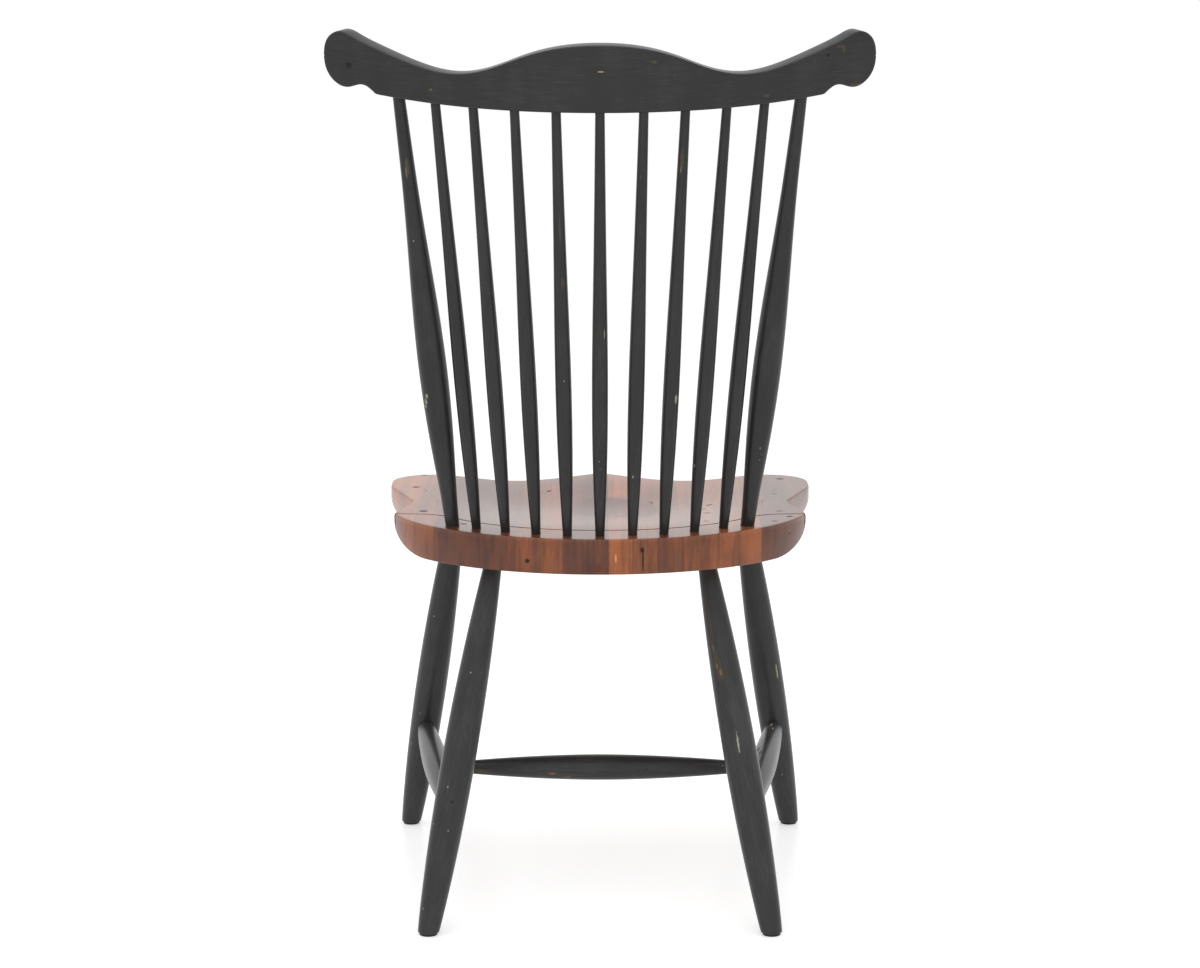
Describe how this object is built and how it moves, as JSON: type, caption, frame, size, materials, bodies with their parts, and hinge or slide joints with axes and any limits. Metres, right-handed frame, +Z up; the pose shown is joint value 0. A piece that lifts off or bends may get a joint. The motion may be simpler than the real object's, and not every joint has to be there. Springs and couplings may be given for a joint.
{
  "type": "fan-back windsor side chair",
  "caption": "Fan-back side chair with a saddled plank seat, slender fanned spindles between two posts, a bent crest rail with eared ends and turned splayed legs joined by an H stretcher.",
  "frame": {"origin": "on the floor under the middle of the chair's bounding box", "axes": "+Z up, front of the seat towards -Y, +X to the right as seen from the front, so the chair mirrors across X = 0"},
  "size_m": [0.6106, 0.525, 1.0273],
  "materials": {
    "painted_wood": "charcoal-black satin paint, rubbed through to tan wood in streaks and small dents",
    "seat_wood": "glued staves of solid wood, orange-brown stain under satin lacquer",
    "seat_wood_dark": "glued staves of solid wood, the darker tones, brown stain under satin lacquer",
    "glide_pad": "dark matte plastic foot pad"
  },
  "bodies": {
    "root": {"crest_rail": "painted_wood", "back_post_left": "painted_wood", "back_post_right": "painted_wood", "spindle_1": "painted_wood", "spindle_2": "painted_wood", "spindle_3": "painted_wood", "spindle_4": "painted_wood", "spindle_5": "painted_wood", "spindle_6": "painted_wood", "spindle_7": "painted_wood", "spindle_8": "painted_wood", "spindle_9": "painted_wood", "seat_stave_1": "seat_wood_dark", "seat_stave_2": "seat_wood", "seat_stave_3": "seat_wood", "seat_stave_4": "seat_wood", "seat_stave_5": "seat_wood_dark", "seat_stave_6": "seat_wood", "seat_stave_7": "seat_wood", "seat_stave_8": "seat_wood_dark", "seat_stave_9": "seat_wood", "seat_stave_10": "seat_wood", "seat_stave_11": "seat_wood_dark", "seat_stave_12": "seat_wood_dark", "seat_stave_13": "seat_wood", "front_leg_left": "painted_wood", "front_leg_right": "painted_wood", "rear_leg_left": "painted_wood", "rear_leg_right": "painted_wood", "side_stretcher_left": "painted_wood", "side_stretcher_right": "painted_wood", "centre_stretcher": "painted_wood", "foot_glide_front_left": "glide_pad", "foot_glide_front_right": "glide_pad", "foot_glide_rear_left": "glide_pad", "foot_glide_rear_right": "glide_pad"}
  },
  "joints": []
}
